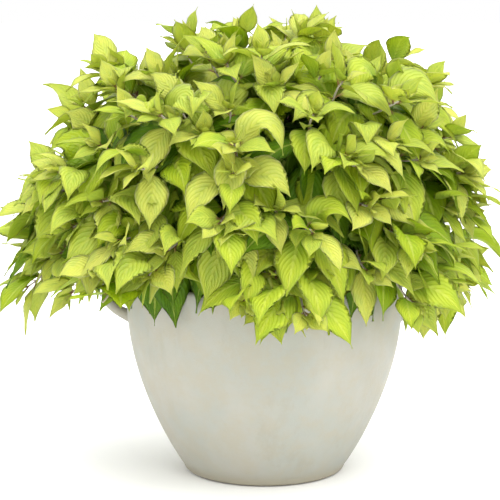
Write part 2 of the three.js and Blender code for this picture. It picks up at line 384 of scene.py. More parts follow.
class Graph:
    """Adds nodes to a tree and joins them by name."""

    def __init__(self, tree):
        self.tree = tree

    def node(self, kind, inputs=(), **values):
        made = self.tree.nodes.new(kind)
        for key, value in values.items():
            setattr(made, key, value)
        for socket, value in dict(inputs).items():
            self.put(made.inputs[socket], value)
        return made

    def put(self, socket, value):
        if isinstance(value, bpy.types.NodeSocket):
            self.tree.links.new(value, socket)
        else:
            socket.default_value = value

    def math(self, operation, first, second=0.0, clamp=False):
        made = self.node("ShaderNodeMath", {0: first, 1: second}, operation=operation, use_clamp=clamp)
        return made.outputs[0]

    def blend(self, share, first, second, mode="MIX"):
        made = self.node("ShaderNodeMix", data_type="RGBA", blend_type=mode)
        self.put(made.inputs[0], share)
        self.put(made.inputs[6], first)
        self.put(made.inputs[7], second)
        return made.outputs[2]

    def step(self, value, low, high, to_low=0.0, to_high=1.0):
        made = self.node("ShaderNodeMapRange", interpolation_type="SMOOTHSTEP")
        for socket, number in zip(made.inputs, (value, low, high, to_low, to_high)):
            self.put(socket, number)
        return made.outputs[0]

    def noise(self, place, scale, detail=3.0, roughness=0.5):
        made = self.node("ShaderNodeTexNoise", {"Vector": place, "Scale": scale, "Detail": detail})
        made.inputs["Roughness"].default_value = roughness
        return made.outputs["Fac"]

    def attribute(self, name):
        made = self.node("ShaderNodeAttribute", attribute_name=name, attribute_type="GEOMETRY")
        return made.outputs["Fac"]


def rgba(colour):
    return (*colour, 1.0)


def tinted(colour, share):
    return tuple(part * much for part, much in zip(colour, share))


def new_material(name):
    material = bpy.data.materials.new(name)
    material.use_nodes = True
    material.node_tree.nodes.clear()
    return material, Graph(material.node_tree)


def mottle_group():
    """Soft patches, middling blotches and fine grain, for stone, soil and bark alike."""
    found = bpy.data.node_groups.get("mottle")
    if found:
        return found
    tree = bpy.data.node_groups.new("mottle", "ShaderNodeTree")
    for name, default in (("Patch scale", 9.0), ("Blotch scale", 38.0), ("Grain scale", 600.0)):
        socket = tree.interface.new_socket(name, in_out="INPUT", socket_type="NodeSocketFloat")
        socket.default_value = default
    for name in ("Patch", "Blotch", "Grain"):
        tree.interface.new_socket(name, in_out="OUTPUT", socket_type="NodeSocketFloat")
    graph = Graph(tree)
    entry = graph.node("NodeGroupInput")
    place = graph.node("ShaderNodeTexCoord").outputs["Object"]
    patch = graph.step(graph.noise(place, entry.outputs[0], 4.0, 0.6), 0.32, 0.68)
    blotch = graph.step(graph.noise(place, entry.outputs[1], 5.0, 0.65), 0.35, 0.68)
    grain = graph.noise(place, entry.outputs[2], 3.0, 0.6)
    graph.node("NodeGroupOutput", {0: patch, 1: blotch, 2: grain})
    return tree


def mottle(graph, patch, blotch, grain):
    made = graph.node("ShaderNodeGroup", node_tree=mottle_group())
    for socket, value in zip(made.inputs, (patch, blotch, grain)):
        socket.default_value = value
    return made.outputs


def stone_material(colour, foot):
    """Cast stone: pale grey with warm and cool patches, fine pores and a tan bottom edge."""
    material, graph = new_material("pale_stone")
    patch, blotch, grain = mottle(graph, 9.0, 34.0, 700.0)
    place = graph.node("ShaderNodeTexCoord").outputs["Object"]
    height = graph.node("ShaderNodeSeparateXYZ", {0: place}).outputs["Z"]
    cool = graph.blend(patch, rgba(colour), rgba(tinted(colour, (0.89, 0.95, 0.98))))
    warm = graph.blend(graph.math("MULTIPLY", blotch, 0.6), cool, rgba(tinted(colour, (0.97, 0.91, 0.80))))
    streaks = graph.node("ShaderNodeMapping", {0: place, "Scale": (1.0, 1.0, 0.35)}).outputs[0]
    worn = graph.step(graph.noise(streaks, 22.0, 6.0, 0.7), 0.52, 0.72, 0.0, 0.5)
    weathered = graph.blend(worn, warm, rgba(tinted(colour, (0.84, 0.84, 0.78))))
    speckle = graph.step(grain, 0.62, 0.75, 0.0, 0.16)
    speckled = graph.blend(speckle, weathered, rgba(tinted(colour, (0.70, 0.66, 0.58))))
    rising = graph.math("ADD", height, graph.math("MULTIPLY", graph.math("SUBTRACT", blotch, 0.5), foot))
    edge = graph.step(rising, foot * 0.2, foot * 3.0, 0.5, 0.0)
    stained = graph.blend(edge, speckled, rgba(tinted(colour, (0.80, 0.70, 0.50))))
    pores = graph.node("ShaderNodeTexVoronoi", {"Vector": place, "Scale": 260.0}).outputs["Distance"]
    pits = graph.step(pores, 0.08, 0.22)
    relief = graph.math("ADD", graph.math("MULTIPLY", pits, 0.5), graph.math("MULTIPLY", grain, 0.5))
    swell = graph.math("ADD", relief, graph.math("MULTIPLY", blotch, 0.7))
    bump = graph.node("ShaderNodeBump", {"Height": swell, "Strength": 0.22, "Distance": 0.0012})
    shader = graph.node("ShaderNodeBsdfPrincipled", {"Base Color": stained, "Normal": bump.outputs[0]})
    graph.put(shader.inputs["Roughness"], graph.step(patch, 0.0, 1.0, 0.58, 0.7))
    shader.inputs["Specular IOR Level"].default_value = 0.4
    graph.node("ShaderNodeOutputMaterial", {"Surface": shader.outputs[0]})
    return material


def soil_material(colour):
    """Damp peat and bark: dark brown, lighter on the crumbs."""
    material, graph = new_material("potting_soil")
    patch, blotch, grain = mottle(graph, 30.0, 140.0, 900.0)
    lighter = rgba(tuple(min(1.0, 3.4 * part) for part in colour))
    crumbly = graph.blend(graph.math("MULTIPLY", blotch, 0.7), rgba(colour), lighter)
    fibrous = graph.blend(graph.step(grain, 0.55, 0.72, 0.0, 0.6), crumbly, rgba((0.20, 0.13, 0.07)))
    relief = graph.math("ADD", blotch, graph.math("MULTIPLY", grain, 0.6))
    bump = graph.node("ShaderNodeBump", {"Height": relief, "Strength": 0.7, "Distance": 0.003})
    shader = graph.node("ShaderNodeBsdfPrincipled", {"Base Color": fibrous, "Normal": bump.outputs[0]})
    graph.put(shader.inputs["Roughness"], graph.step(patch, 0.0, 1.0, 0.75, 0.95))
    graph.node("ShaderNodeOutputMaterial", {"Surface": shader.outputs[0]})
    return material


def stem_material():
    """Square salvia stems: grey-brown and woody low down, purplish with a pale wool near the tips."""
    material, graph = new_material("square_stem")
    patch, blotch, grain = mottle(graph, 60.0, 240.0, 1400.0)
    age = graph.attribute("age")
    woody = graph.blend(blotch, rgba((0.17, 0.105, 0.06)), rgba((0.33, 0.25, 0.16)))
    purple = graph.blend(patch, rgba((0.27, 0.13, 0.13)), rgba((0.34, 0.30, 0.20)))
    stem = graph.blend(graph.step(age, 0.35, 0.62), woody, purple)
    wool = graph.math("MULTIPLY", graph.step(age, 0.55, 0.95), graph.step(grain, 0.38, 0.6, 0.25, 0.85))
    woolly = graph.blend(wool, stem, rgba((0.58, 0.54, 0.46)))
    bump = graph.node("ShaderNodeBump", {"Height": grain, "Strength": 0.5, "Distance": 0.0005})
    shader = graph.node("ShaderNodeBsdfPrincipled", {"Base Color": woolly, "Normal": bump.outputs[0]})
    graph.put(shader.inputs["Roughness"], graph.step(blotch, 0.0, 1.0, 0.6, 0.85))
    shader.inputs["Sheen Weight"].default_value = 0.3
    graph.node("ShaderNodeOutputMaterial", {"Surface": shader.outputs[0]})
    return material


STALK_SHARE = 0.16  # of a leaf's UV length
VEINS = 9.0  # on each side of the midrib
VEIN_SLANT = 0.50  # how far a side vein runs towards the tip on its way to the margin
VEIN_WANDER = 0.018
LIGHT_THROUGH = 0.46  # of the light that falls on a leaf


def leaf_pattern_group():
    """Where a leaf's side veins, midrib, margin, stalk, relief and green heart lie, from its own UV map;
    the veins and the heart later carry painted shade.
    """
    tree = bpy.data.node_groups.new("leaf pattern", "ShaderNodeTree")
    for name in ("Vein", "Midrib", "Margin", "Stalk", "Relief", "Heart"):
        tree.interface.new_socket(name, in_out="OUTPUT", socket_type="NodeSocketFloat")
    graph = Graph(tree)
    place = graph.node("ShaderNodeUVMap", uv_map="leaf").outputs[0]
    parts = graph.node("ShaderNodeSeparateXYZ", {0: place}).outputs
    across = graph.math("MULTIPLY", graph.math("ABSOLUTE", graph.math("SUBTRACT", parts[0], 0.5)), 2.0)
    along = graph.math("DIVIDE", graph.math("SUBTRACT", parts[1], STALK_SHARE), 1 - STALK_SHARE)
    waver = graph.math("SUBTRACT", graph.noise(place, 3.0, 2.0), 0.5)
    wander = graph.math("MULTIPLY", waver, VEIN_WANDER)
    bent = graph.math("POWER", across, 1.25)
    slant = graph.math("SUBTRACT", along, graph.math("MULTIPLY", bent, VEIN_SLANT))
    phase = graph.math("MULTIPLY", graph.math("ADD", slant, wander), VEINS * math.pi)
    quilt = graph.math("ABSOLUTE", graph.math("SINE", phase))
    vein = graph.step(quilt, 0.0, 0.34, 1.0, 0.0)
    midrib = graph.step(across, 0.03, 0.14, 1.0, 0.0)
    margin = graph.step(across, 0.84, 1.0)
    stalk = graph.step(along, -0.03, 0.05, 1.0, 0.0)
    net = graph.node("ShaderNodeTexVoronoi", {"Vector": place, "Scale": 34.0}, feature="DISTANCE_TO_EDGE")
    cells = graph.step(net.outputs["Distance"], 0.0, 0.22)
    puffed = graph.math("POWER", quilt, 0.65)
    fading = graph.math("MULTIPLY", puffed, graph.step(across, 0.75, 1.05, 1.0, 0.3))
    raised = graph.math("ADD", fading, graph.math("MULTIPLY", cells, 0.16))
    relief = graph.math("SUBTRACT", raised, graph.math("MULTIPLY", midrib, 0.9))
    blade = graph.math("MULTIPLY", relief, graph.math("SUBTRACT", 1.0, stalk))
    near_base = graph.step(along, 0.0, 0.75, 1.0, 0.0)
    heart = graph.math("MULTIPLY", near_base, graph.step(across, 0.1, 0.95, 1.0, 0.2))
    graph.node("NodeGroupOutput", {0: vein, 1: midrib, 2: margin, 3: stalk, 4: blade, 5: heart})
    return tree


def leaf_material(young, grown, shaded):
    """A soft, hairy, quilted salvia leaf that lets light through."""
    material, graph = new_material("salvia_leaf")
    vein, midrib, margin, stalk, relief, heart = graph.node(
        "ShaderNodeGroup", node_tree=leaf_pattern_group()
    ).outputs
    tone = graph.attribute("tone")
    under = graph.attribute("underside")
    place = graph.node("ShaderNodeUVMap", uv_map="leaf").outputs[0]
    shift = graph.node("ShaderNodeCombineXYZ", {0: graph.math("MULTIPLY", tone, 7.3), 1: tone}).outputs[0]
    shifted = graph.node("ShaderNodeVectorMath", {0: place, 1: shift}).outputs[0]
    patch = graph.noise(shifted, 2.6, 3.0, 0.6)
    fresh = graph.blend(graph.step(tone, 0.0, 0.36), rgba(young), rgba(grown))
    # Older leaves turn darker green, and leaves deep in the mound take the shaded colour as painted shade.
    aged_and_painted_shade = graph.blend(graph.step(tone, 0.42, 0.92), fresh, rgba(shaded))
    patches = graph.step(patch, 0.4, 0.66, 0.0, 0.4)
    patched = graph.blend(patches, aged_and_painted_shade, rgba(tinted(grown, (0.48, 0.70, 0.4))))
    # A greener heart near the stalk: partly the leaf's own colour, partly painted shade on the older,
    # deeper leaves.
    heart_painted_shade = graph.math("MULTIPLY", heart, graph.step(tone, 0.1, 0.5, 0.0, 0.62))
    heart_shaded = graph.blend(heart_painted_shade, patched, rgba((0.20, 0.44, 0.004)))
    # Painted shade: the side veins are darkened as if shadowed in their grooves.
    groove = graph.blend(1.0, heart_shaded, rgba((0.42, 0.62, 0.30)), "MULTIPLY")
    groove_shaded = graph.blend(graph.math("MULTIPLY", vein, 0.30), heart_shaded, groove)
    ribbed = graph.blend(graph.math("MULTIPLY", midrib, 0.5), groove_shaded, rgba((0.74, 0.80, 0.16)))
    # Pale hairs on the margin, with a painted sheen and highlight on the raised quilts of the younger,
    # outer leaves.
    raised = graph.step(relief, 0.1, 0.8, 0.12, 0.45)
    frost_and_sheen = graph.math("ADD", raised, graph.math("MULTIPLY", margin, 0.75))
    frost_and_sheen_share = graph.math("MULTIPLY", frost_and_sheen, graph.step(tone, 0.05, 0.7, 0.42, 0.0), clamp=True)
    frosted_and_sheened = graph.blend(frost_and_sheen_share, ribbed, rgba((0.84, 0.83, 0.66)))
    paler = graph.blend(graph.math("MULTIPLY", under, 0.35), frosted_and_sheened, rgba((0.50, 0.66, 0.10)))
    stalky = graph.blend(stalk, paler, rgba((0.36, 0.22, 0.09)))
    height = graph.math("MULTIPLY", relief, graph.step(under, 0.0, 1.0, 1.0, -0.7))
    bump = graph.node("ShaderNodeBump", {"Height": height, "Strength": 0.6, "Distance": 0.0014})
    shader = graph.node("ShaderNodeBsdfPrincipled", {"Base Color": stalky, "Normal": bump.outputs[0]})
    graph.put(shader.inputs["Roughness"], graph.step(relief, 0.0, 1.0, 0.40, 0.50))
    shader.inputs["Specular IOR Level"].default_value = 0.42
    shader.inputs["Sheen Weight"].default_value = 0.02
    shader.inputs["Sheen Roughness"].default_value = 0.4
    glow = graph.node("ShaderNodeBsdfTranslucent", {"Color": stalky, "Normal": bump.outputs[0]})
    both = graph.node("ShaderNodeMixShader", {0: LIGHT_THROUGH, 1: shader.outputs[0], 2: glow.outputs[0]})
    graph.node("ShaderNodeOutputMaterial", {"Surface": both.outputs[0]})
    return material


# ---------------------------------------------------------------- pot


def outer_radius(pot, height):
    rise = min(height / pot.belly_height, 1.0)
    curve = math.sin(rise * math.pi / 2) ** pot.fullness
    return pot.base_radius + (pot.belly_radius - pot.base_radius) * curve


def pot_section(pot):
    """The wall's cut outline, from the middle of the underside up the outside and down the inside."""
    lip = pot.wall / 2
    rim_base = pot.height - lip
    foot_end = outer_radius(pot, pot.foot_round)
    start = Vector((pot.base_radius - 0.6 * pot.foot_round, 0))
    corner = Vector((foot_end - 0.05 * pot.foot_round, 0))
    end = Vector((foot_end, pot.foot_round))
    bends = [start.lerp(corner, t).lerp(corner.lerp(end, t), t) for t in np.linspace(0, 1, 7)]
    section = [(0, 0), (0.5 * pot.base_radius, 0)] + [tuple(bend) for bend in bends]
    for height in np.linspace(pot.foot_round, rim_base, 44)[1:]:
        section.append((outer_radius(pot, height), height))
    middle = outer_radius(pot, rim_base) - lip
    for turn in np.linspace(0, math.pi, 12)[1:-1]:
        section.append((middle + lip * math.cos(turn), rim_base + lip * math.sin(turn)))
    for height in np.linspace(rim_base, pot.floor, 24):
        section.append((outer_radius(pot, height) - pot.wall, height))
    section += [(0.5 * pot.base_radius, pot.floor), (0, pot.floor)]
    return section


def bezier(p0, p1, p2, p3, count):
    t = np.linspace(0, 1, count)[:, None]
    s = 1 - t
    return s**3 * p0 + 3 * s**2 * t * p1 + 3 * s * t**2 * p2 + t**3 * p3


def handle(pot, side):
    """A loop from the shoulder out and up to just under the rim, flared where it meets the wall."""
    top = pot.height - pot.handle_drop
    foot = top - pot.handle_span
    bow = pot.belly_radius + (pot.handle_reach - pot.handle_bar) * 1.5
    buried = 0.55 * pot.wall
    points = bezier(
        np.array((side * (outer_radius(pot, foot) - buried), 0, foot)),
        np.array((side * bow, 0, foot + 0.3 * pot.handle_span)),
        np.array((side * bow, 0, top)),
        np.array((side * (outer_radius(pot, top) - buried), 0, top)),
        36,
    )
    share = np.linspace(-1, 1, len(points))
    radii = 1 + 0.45 * np.abs(share) ** 5
    return bar_along("handle", [(points, radii)], bevel=pot.handle_bar)


def cut(piece, tool, operation):
    apply_modifier(piece, "BOOLEAN", operation.lower(), object=tool, operation=operation, solver="EXACT")
    remove(tool)


class SALVIA_OT_pot(bpy.types.Operator):
    """Spin the pot, join its two loop handles and drill its drain holes"""

    bl_idname = "salvia.pot"
    bl_label = "Pot"

    def execute(self, context):
        pot = context.scene.salvia_pot
        body = spun(pot_section(pot), 144)
        for side in (-1, 1):
            cut(body, handle(pot, side), "UNION")
        for index in range(pot.drain_holes):
            angle = index / pot.drain_holes * 2 * math.pi + math.pi / 2
            place = (pot.drain_circle * math.cos(angle), pot.drain_circle * math.sin(angle), pot.floor / 2)
            deselect()
            bpy.ops.mesh.primitive_cylinder_add(
                vertices=32, radius=pot.drain_radius, depth=2 * pot.floor, location=place
            )
            apply_place(context.object)
            cut(body, context.object, "DIFFERENCE")
        pick(body)
        bpy.ops.object.shade_smooth_by_angle(angle=math.radians(42))
        finish_piece(body, "stone_pot", stone_material(pot.stone, pot.foot_round), "pot_stone", "pot")
        return {"FINISHED"}


# ---------------------------------------------------------------- soil

SOIL_GAP = 0.0004  # between the soil and the pot


class SALVIA_OT_soil(bpy.types.Operator):
    """Fill the pot with crumbly soil and scatter bark on it"""

    bl_idname = "salvia.soil"
    bl_label = "Soil"

    def execute(self, context):
        pot, soil = context.scene.salvia_pot, context.scene.salvia_soil
        inner = []
        for height in np.linspace(pot.floor + SOIL_GAP, soil.surface, 12):
            inner.append((outer_radius(pot, height) - pot.wall - SOIL_GAP, height))
        edge = inner[-1][0]
        top = []
        for share in np.linspace(1, 0, 40)[1:]:
            top.append((edge * share, soil.surface + soil.crown * (1 - share**2)))
        body = spun([(0, pot.floor + SOIL_GAP)] + inner + top, 110)
        clouds = bpy.data.textures.new("lumps", "CLOUDS")
        clouds.noise_scale = 0.012
        pick(body)
        crust = body.vertex_groups.new(name="crust")
        for corner in body.data.vertices:
            if corner.co.z > soil.surface - 1e-4 and corner.co.xy.length < edge - 0.002:
                crust.add([corner.index], 1.0, "REPLACE")
        apply_modifier(body, "DISPLACE", "lumps", texture=clouds, strength=0.006, mid_level=0.5,
                       vertex_group="crust", direction="Z", texture_coords="LOCAL")
        body.vertex_groups.clear()
        deselect()
        bpy.ops.mesh.primitive_ico_sphere_add(subdivisions=1, radius=1)
        crumb = context.object
        crumbs = []
        for index in range(soil.crumbs):
            copy = crumb.copy()
            copy.data = crumb.data.copy()
            context.scene.collection.objects.link(copy)
            angle = index * GOLDEN_ANGLE
            radius = (edge - 0.010) * math.sqrt((index + 0.5) / soil.crumbs)
            size = 0.0028 + 0.0018 * vary(index, 3)
            copy.scale = (size * (1.5 + 0.6 * vary(index, 4)), size, size * (0.6 + 0.2 * vary(index, 5)))
            copy.rotation_euler = (0.5 * vary(index, 6), 0.5 * vary(index, 7), 3 * vary(index, 8))
            lift = soil.crown * (1 - (radius / edge) ** 2)
            height = soil.surface + lift + 0.0005
            copy.location = (radius * math.cos(angle), radius * math.sin(angle), height)
            crumbs.append(copy)
        remove(crumb)
        for copy in crumbs:
            apply_place(copy)
        whole = join([body] + crumbs)
        finish_piece(whole, "potting_soil", soil_material(soil.earth), "potting_soil", "soil")
        return {"FINISHED"}


# ---------------------------------------------------------------- how the plant grows

HANDLE_INSET = 0.02  # from the left handle's outermost point to the middle of its window
HANDLE_BACK = 0.1  # leaves further back than this can't hide the handle


class Axis:
    """One stem's middle line, measured from its tip, and what its age is along the way."""

    def __init__(self, points, start_age, order):
        self.points = points
        steps = np.linalg.norm(np.diff(points, axis=0), axis=1)
        self.run = np.concatenate(([0], np.cumsum(steps)))
        self.length = self.run[-1]
        self.start_age = start_age
        self.order = order

    def at(self, from_tip):
        along = self.length - from_tip
        point = np.array([np.interp(along, self.run, self.points[:, k]) for k in range(3)])
        ahead = np.array([np.interp(along + 0.004, self.run, self.points[:, k]) for k in range(3)])
        behind = np.array([np.interp(along - 0.004, self.run, self.points[:, k]) for k in range(3)])
        return point, unit(ahead - behind)


class Growth:
    """The lines of all the stems, by the rule that the frame's stems also follow."""

    def __init__(self, plant, pot, soil):
        self.plant = plant
        self.shoots = len(shoot_names)
        self.soil_top = soil.surface
        self.pot_height = pot.height
        self.middle = np.array((plant.mound_x, 0, pot.height + plant.mound_height))
        self.mains = [Axis(self.main_line(i), 0.0, i) for i in range(self.shoots)]
        self.sides = [[] for _ in range(self.shoots)]
        for index in range(plant.side_shoots):
            self.add_side(index)

    def on_mound(self, polar, azimuth, power):
        half = self.plant.mound_half
        across, upward = math.sin(polar), math.cos(polar)
        square = (abs(across) ** power + abs(upward) ** power) ** (-1 / power)
        reach = np.array((across * math.cos(azimuth), across * math.sin(azimuth), upward)) * half
        return self.middle + square * reach

    @staticmethod
    def polar_of(index, count, lowest):
        share = (index + 0.5) / count
        return math.acos(1 - share * (1 - math.cos(lowest)))

    def lowest_leaf(self, base):
        """The height that leaves stay above: lower at the sides than in front, clear of the left handle."""
        sideways = abs(base[0] - self.middle[0]) / self.plant.mound_half[0]
        from_handle = base[0] - pot_low.x - HANDLE_INSET
        in_front = base[1] < HANDLE_BACK
        beside_handle = math.exp(-((from_handle / self.plant.handle_window) ** 2)) * in_front
        return self.pot_height - self.plant.fringe * (0.85 + 0.75 * sideways**2 - 1.15 * beside_handle)

    @staticmethod
    def heading(polar, azimuth):
        lift = math.pi / 2 - 1.25 * polar
        level = math.cos(lift)
        return np.array((level * math.cos(azimuth), level * math.sin(azimuth), math.sin(lift)))

    def main_line(self, index):
        plant = self.plant
        azimuth = index * GOLDEN_ANGLE
        polar = self.polar_of(index, self.shoots, plant.lowest)
        outward = np.array((math.cos(azimuth), math.sin(azimuth), 0))
        up = np.array((0, 0, 1.0))
        root = plant.root_circle * math.sqrt((index + 0.5) / self.shoots) * outward
        root[2] = self.soil_top - plant.root_depth
        tip = self.on_mound(polar, azimuth, plant.squareness)
        reach = np.linalg.norm(tip - root)
        climb = max(0.62 * reach, plant.root_depth + self.pot_height - self.soil_top + plant.arch)
        rise = root + climb * up + 0.03 * reach * outward
        arch = tip - 0.3 * reach * self.heading(polar, azimuth)
        return bezier(root, rise, arch, tip, 48)

    def add_side(self, index):
        count = self.plant.side_shoots
        azimuth = index * GOLDEN_ANGLE + 0.8 + 0.12 * vary(index, 1)
        lowest = self.plant.side_lowest + self.plant.side_droop * math.cos(azimuth) ** 2
        polar = max(self.polar_of(index, count, lowest) + 0.05 * vary(index, 2), 0.02)
        squareness = self.plant.side_squareness + self.plant.lopsided * math.cos(azimuth)
        tip = self.on_mound(polar, azimuth, squareness)
        tip = self.middle + (tip - self.middle) * (0.925 + 0.075 * vary(index, 3))
        lowness = max(0.0, 1 - 2.5 * math.cos(polar))
        tip[0] += self.plant.left_reach * min(tip[0] - self.middle[0], 0) * lowness
        distances = [np.linalg.norm(main.points[-1] - tip) for main in self.mains]
        carrier = int(np.argmin(distances))
        main = self.mains[carrier]
        back = min(0.05 + 1.05 * distances[carrier], 0.55 * main.length)
        start, tangent = main.at(back)
        reach = np.linalg.norm(tip - start)
        leaving = unit(tangent + unit(tip - start))
        bend = tip - 0.35 * reach * self.heading(polar, azimuth)
        line = bezier(start, start + 0.35 * reach * leaving, bend, tip, 20)
        self.sides[carrier].append(Axis(line, 1 - back / main.length, index + 100))


# ---------------------------------------------------------------- stems


def square_section():
    """A rounded square with a shallow groove in each side, one unit to its flats."""
    curve = bpy.data.curves.new("square section", "CURVE")
    curve.dimensions = "2D"
    spline = curve.splines.new("POLY")
    corners = []
    for quarter in range(4):
        for turn, reach in ((-0.30, 1.10), (0.0, 1.16), (0.30, 1.10), (math.pi / 4, 0.88)):
            angle = quarter * math.pi / 2 + math.pi / 4 + turn
            corners.append((reach * math.cos(angle), reach * math.sin(angle)))
    spline.points.add(len(corners) - 1)
    for place, (x, y) in zip(spline.points, corners):
        place.co = (x, y, 0, 1)
    spline.use_cyclic_u = True
    section = bpy.data.objects.new("square section", curve)
    bpy.context.scene.collection.objects.link(section)
    return section


class SALVIA_OT_stems(bpy.types.Operator):
    """Grow the square stems, one branching piece for each main stem"""

    bl_idname = "salvia.stems"
    bl_label = "Stems"

    def execute(self, context):
        plant = context.scene.salvia_plant
        growth = Growth(plant, context.scene.salvia_pot, context.scene.salvia_soil)
        material = stem_material()
        section = square_section()
        for index, main in enumerate(growth.mains):
            pieces = []
            for axis in [main] + growth.sides[index]:
                share = axis.run / axis.length
                age = axis.start_age + (1 - axis.start_age) * share
                thick = plant.stem_radius if axis is main else 0.6 * plant.stem_radius
                radii = plant.young_radius + (thick - plant.young_radius) * (1 - share) ** 0.8
                piece = bar_along("stem", [(axis.points, radii)], section=section)
                corners = np.array([v.co for v in piece.data.vertices])
                nearest = np.argmin(((corners[:, None] - axis.points[None]) ** 2).sum(2), axis=1)
                values = piece.data.attributes.new("age", "FLOAT", "POINT")
                values.data.foreach_set("value", age[nearest].astype(np.float32))
                pieces.append(piece)
            whole = join(pieces)
            pick(whole)
            bpy.ops.object.shade_smooth_by_angle(angle=math.radians(50))
            number = shoot_names[index].split("_")[1]
            finish_piece(whole, f"square_stem_{number}", material, "woody_stem", f"stem_{number}")
        remove(section)
        return {"FINISHED"}


# ---------------------------------------------------------------- leaves

RINGS = 15  # along a leaf
AROUND = 8  # corners in each ring
STALK_RINGS = 2
WIDEST = 0.38  # where along its length a blade is widest
TONES = 8
ATLAS_CELLS = 4  # across and up, one cell for each tone and side
ATLAS_MARGIN = 0.04  # of a cell


def blade_outline(share):
    """Half width of the blade, one at its widest: a round base and a long drawn-out tip."""
    base = np.clip(1 - (1 - share / WIDEST) ** 2, 0, 1) ** 0.62
    tip = np.cos(np.clip((share - WIDEST) / (1 - WIDEST), 0, 1) * math.pi / 2) ** 1.6
    return np.where(share < WIDEST, base, tip)


def blank_leaf():
    """One flat leaf as a closed shell, from a subdivided bar: rings along it, eight corners round each."""
    deselect()
    bpy.ops.mesh.primitive_cylinder_add(vertices=AROUND, radius=1, depth=1, location=(0, 0, 0.5))
    leaf = bpy.context.object
    apply_place(leaf)
    bpy.ops.object.mode_set(mode="EDIT")
    bpy.ops.mesh.select_all(action="DESELECT")
    bpy.ops.mesh.select_mode(type="EDGE")
    bpy.ops.object.mode_set(mode="OBJECT")
    for edge in leaf.data.edges:
        low, high = (leaf.data.vertices[i].co.z for i in edge.vertices)
        edge.select = abs(low - high) > 0.5
    bpy.ops.object.mode_set(mode="EDIT")
    bpy.ops.mesh.subdivide(number_cuts=RINGS - 2)
    bpy.ops.object.mode_set(mode="OBJECT")
    return leaf


class LeafShape:
    """The blank's corners as ring and place round it, and its faces, ready to be bent into any leaf."""

    def __init__(self):
        blank = blank_leaf()
        corners = np.array([v.co for v in blank.data.vertices])
        self.ring = np.rint(corners[:, 2] * (RINGS - 1)).astype(int)
        turn = np.arctan2(corners[:, 0], corners[:, 1])
        self.across = np.sign(np.sin(turn)) * np.abs(np.sin(turn)) ** 1.4
        self.across[np.abs(np.sin(turn)) < 1e-6] = 0
        self.level = np.cos(turn)
        self.faces = [tuple(face.vertices) for face in blank.data.polygons]
        self.top = np.array([np.mean([self.level[v] for v in face]) > 0 for face in self.faces])
        self.count = len(corners)
        remove(blank)
        stalk = np.linspace(0, 1, STALK_RINGS + 1)[:-1]
        blade = np.linspace(0, 1, RINGS - STALK_RINGS) ** 0.92
        self.on_stalk = np.arange(RINGS) < STALK_RINGS
        self.blade_share = np.where(self.on_stalk, 0, np.concatenate((np.zeros(STALK_RINGS), blade)))
        self.stalk_share = np.concatenate((stalk, np.ones(RINGS - STALK_RINGS)))
        teeth = 1 + 0.018 * np.where(np.arange(RINGS) % 2 == 0, 1, -1)
        self.width = np.where(self.on_stalk, 0, blade_outline(self.blade_share) * teeth)

    def uv_along(self):
        return np.where(
            self.on_stalk,
            self.stalk_share * STALK_SHARE,
            STALK_SHARE + self.blade_share * (1 - STALK_SHARE),
        )

    def bent(self, leaf, base, heading, facing, size, hang, seed):
        """The corners of a leaf that leaves its stem along heading, arches over and hangs."""
        blade = leaf.blade * size * (1 + 0.08 * vary(seed, 11))
        half = leaf.half_width * size**0.85 * (1 + 0.10 * vary(seed, 12))
        stalk = leaf.petiole * (0.25 + 0.75 * size)
        length = stalk + blade
        run = self.stalk_share * stalk + self.blade_share * blade
        share = run / length
        up = np.array((0, 0, 1.0))
        curl = 0.35 * vary(seed, 13)
        way = heading[None] - (hang * share + 0.5 * hang * share**3)[:, None] * up
        first_side = unit(np.cross(heading, facing) + 1e-6)
        way = way + (curl * share**2)[:, None] * first_side
        way /= np.linalg.norm(way, axis=1)[:, None]
        steps = (way[1:] + way[:-1]) / 2 * np.diff(run)[:, None]
        middle = np.vstack((base, base + np.cumsum(steps, axis=0)))
        side = np.cross(way, facing[None]) + 0.25 * first_side
        side /= np.linalg.norm(side, axis=1)[:, None]
        normal = np.cross(side, way)
        twist = (leaf.twist * vary(seed, 15) * share)[:, None]
        cos, sin = np.cos(twist), np.sin(twist)
        side, normal = cos * side + sin * normal, cos * normal - sin * side
        ring = self.ring
        stalk_half = 0.0011 * (0.5 + 0.5 * size)
        width = np.maximum(half * self.width, stalk_half * (1 - share) + 0.00025)
        x = self.across * width[ring]
        spread = np.abs(self.across)
        fold = (0.40 + 0.14 * vary(seed, 14)) * spread * width[ring]
        cup = -0.22 * spread**2 * width[ring]
        wave = 0.06 * half * spread**2 * np.sin(self.blade_share[ring] * 11 + seed) * np.sign(self.across)
        thick = np.where(self.on_stalk, stalk_half * 0.9, 0.00028 + 0.0005 * (1 - share))[ring]
        lift = self.level * thick * np.where(spread < 0.1, 1.0, 0.6)
        lobes = -0.06 * blade * spread**1.6 * np.exp(-self.blade_share[ring] / 0.10) * ~self.on_stalk[ring]
        spot = middle[ring] + x[:, None] * side[ring] + (fold + cup + wave + lift)[:, None] * normal[ring]
        return spot + lobes[:, None] * way[ring]


def tone_step(tone):
    """The nearest of the few tones that leaves come in, from young to shaded."""
    return int(np.clip(round(tone * (TONES - 1)), 0, TONES - 1))


# Leaf pairs from the tip down: distance from the tip, leaf size, lift towards the tip, how far it hangs
PAIRS = (
    (0.000, 0.22, 2.6, 0.05),
    (0.004, 0.42, 1.4, 0.20),
    (0.014, 0.68, 0.85, 0.55),
    (0.034, 0.92, 0.50, 1.25),
    (0.062, 1.04, 0.30, 1.65),
    (0.096, 1.06, 0.20, 1.75),
    (0.130, 1.02, 0.15, 1.75),
    (0.164, 0.95, 0.10, 1.60),
    (0.200, 0.90, 0.10, 1.50),
)
AXIL_FROM = 3  # the first pair with young leaves in its axils
AXIL_SHARE = 0.1  # above it, of numbers from -1 to 1, an axil stays bare


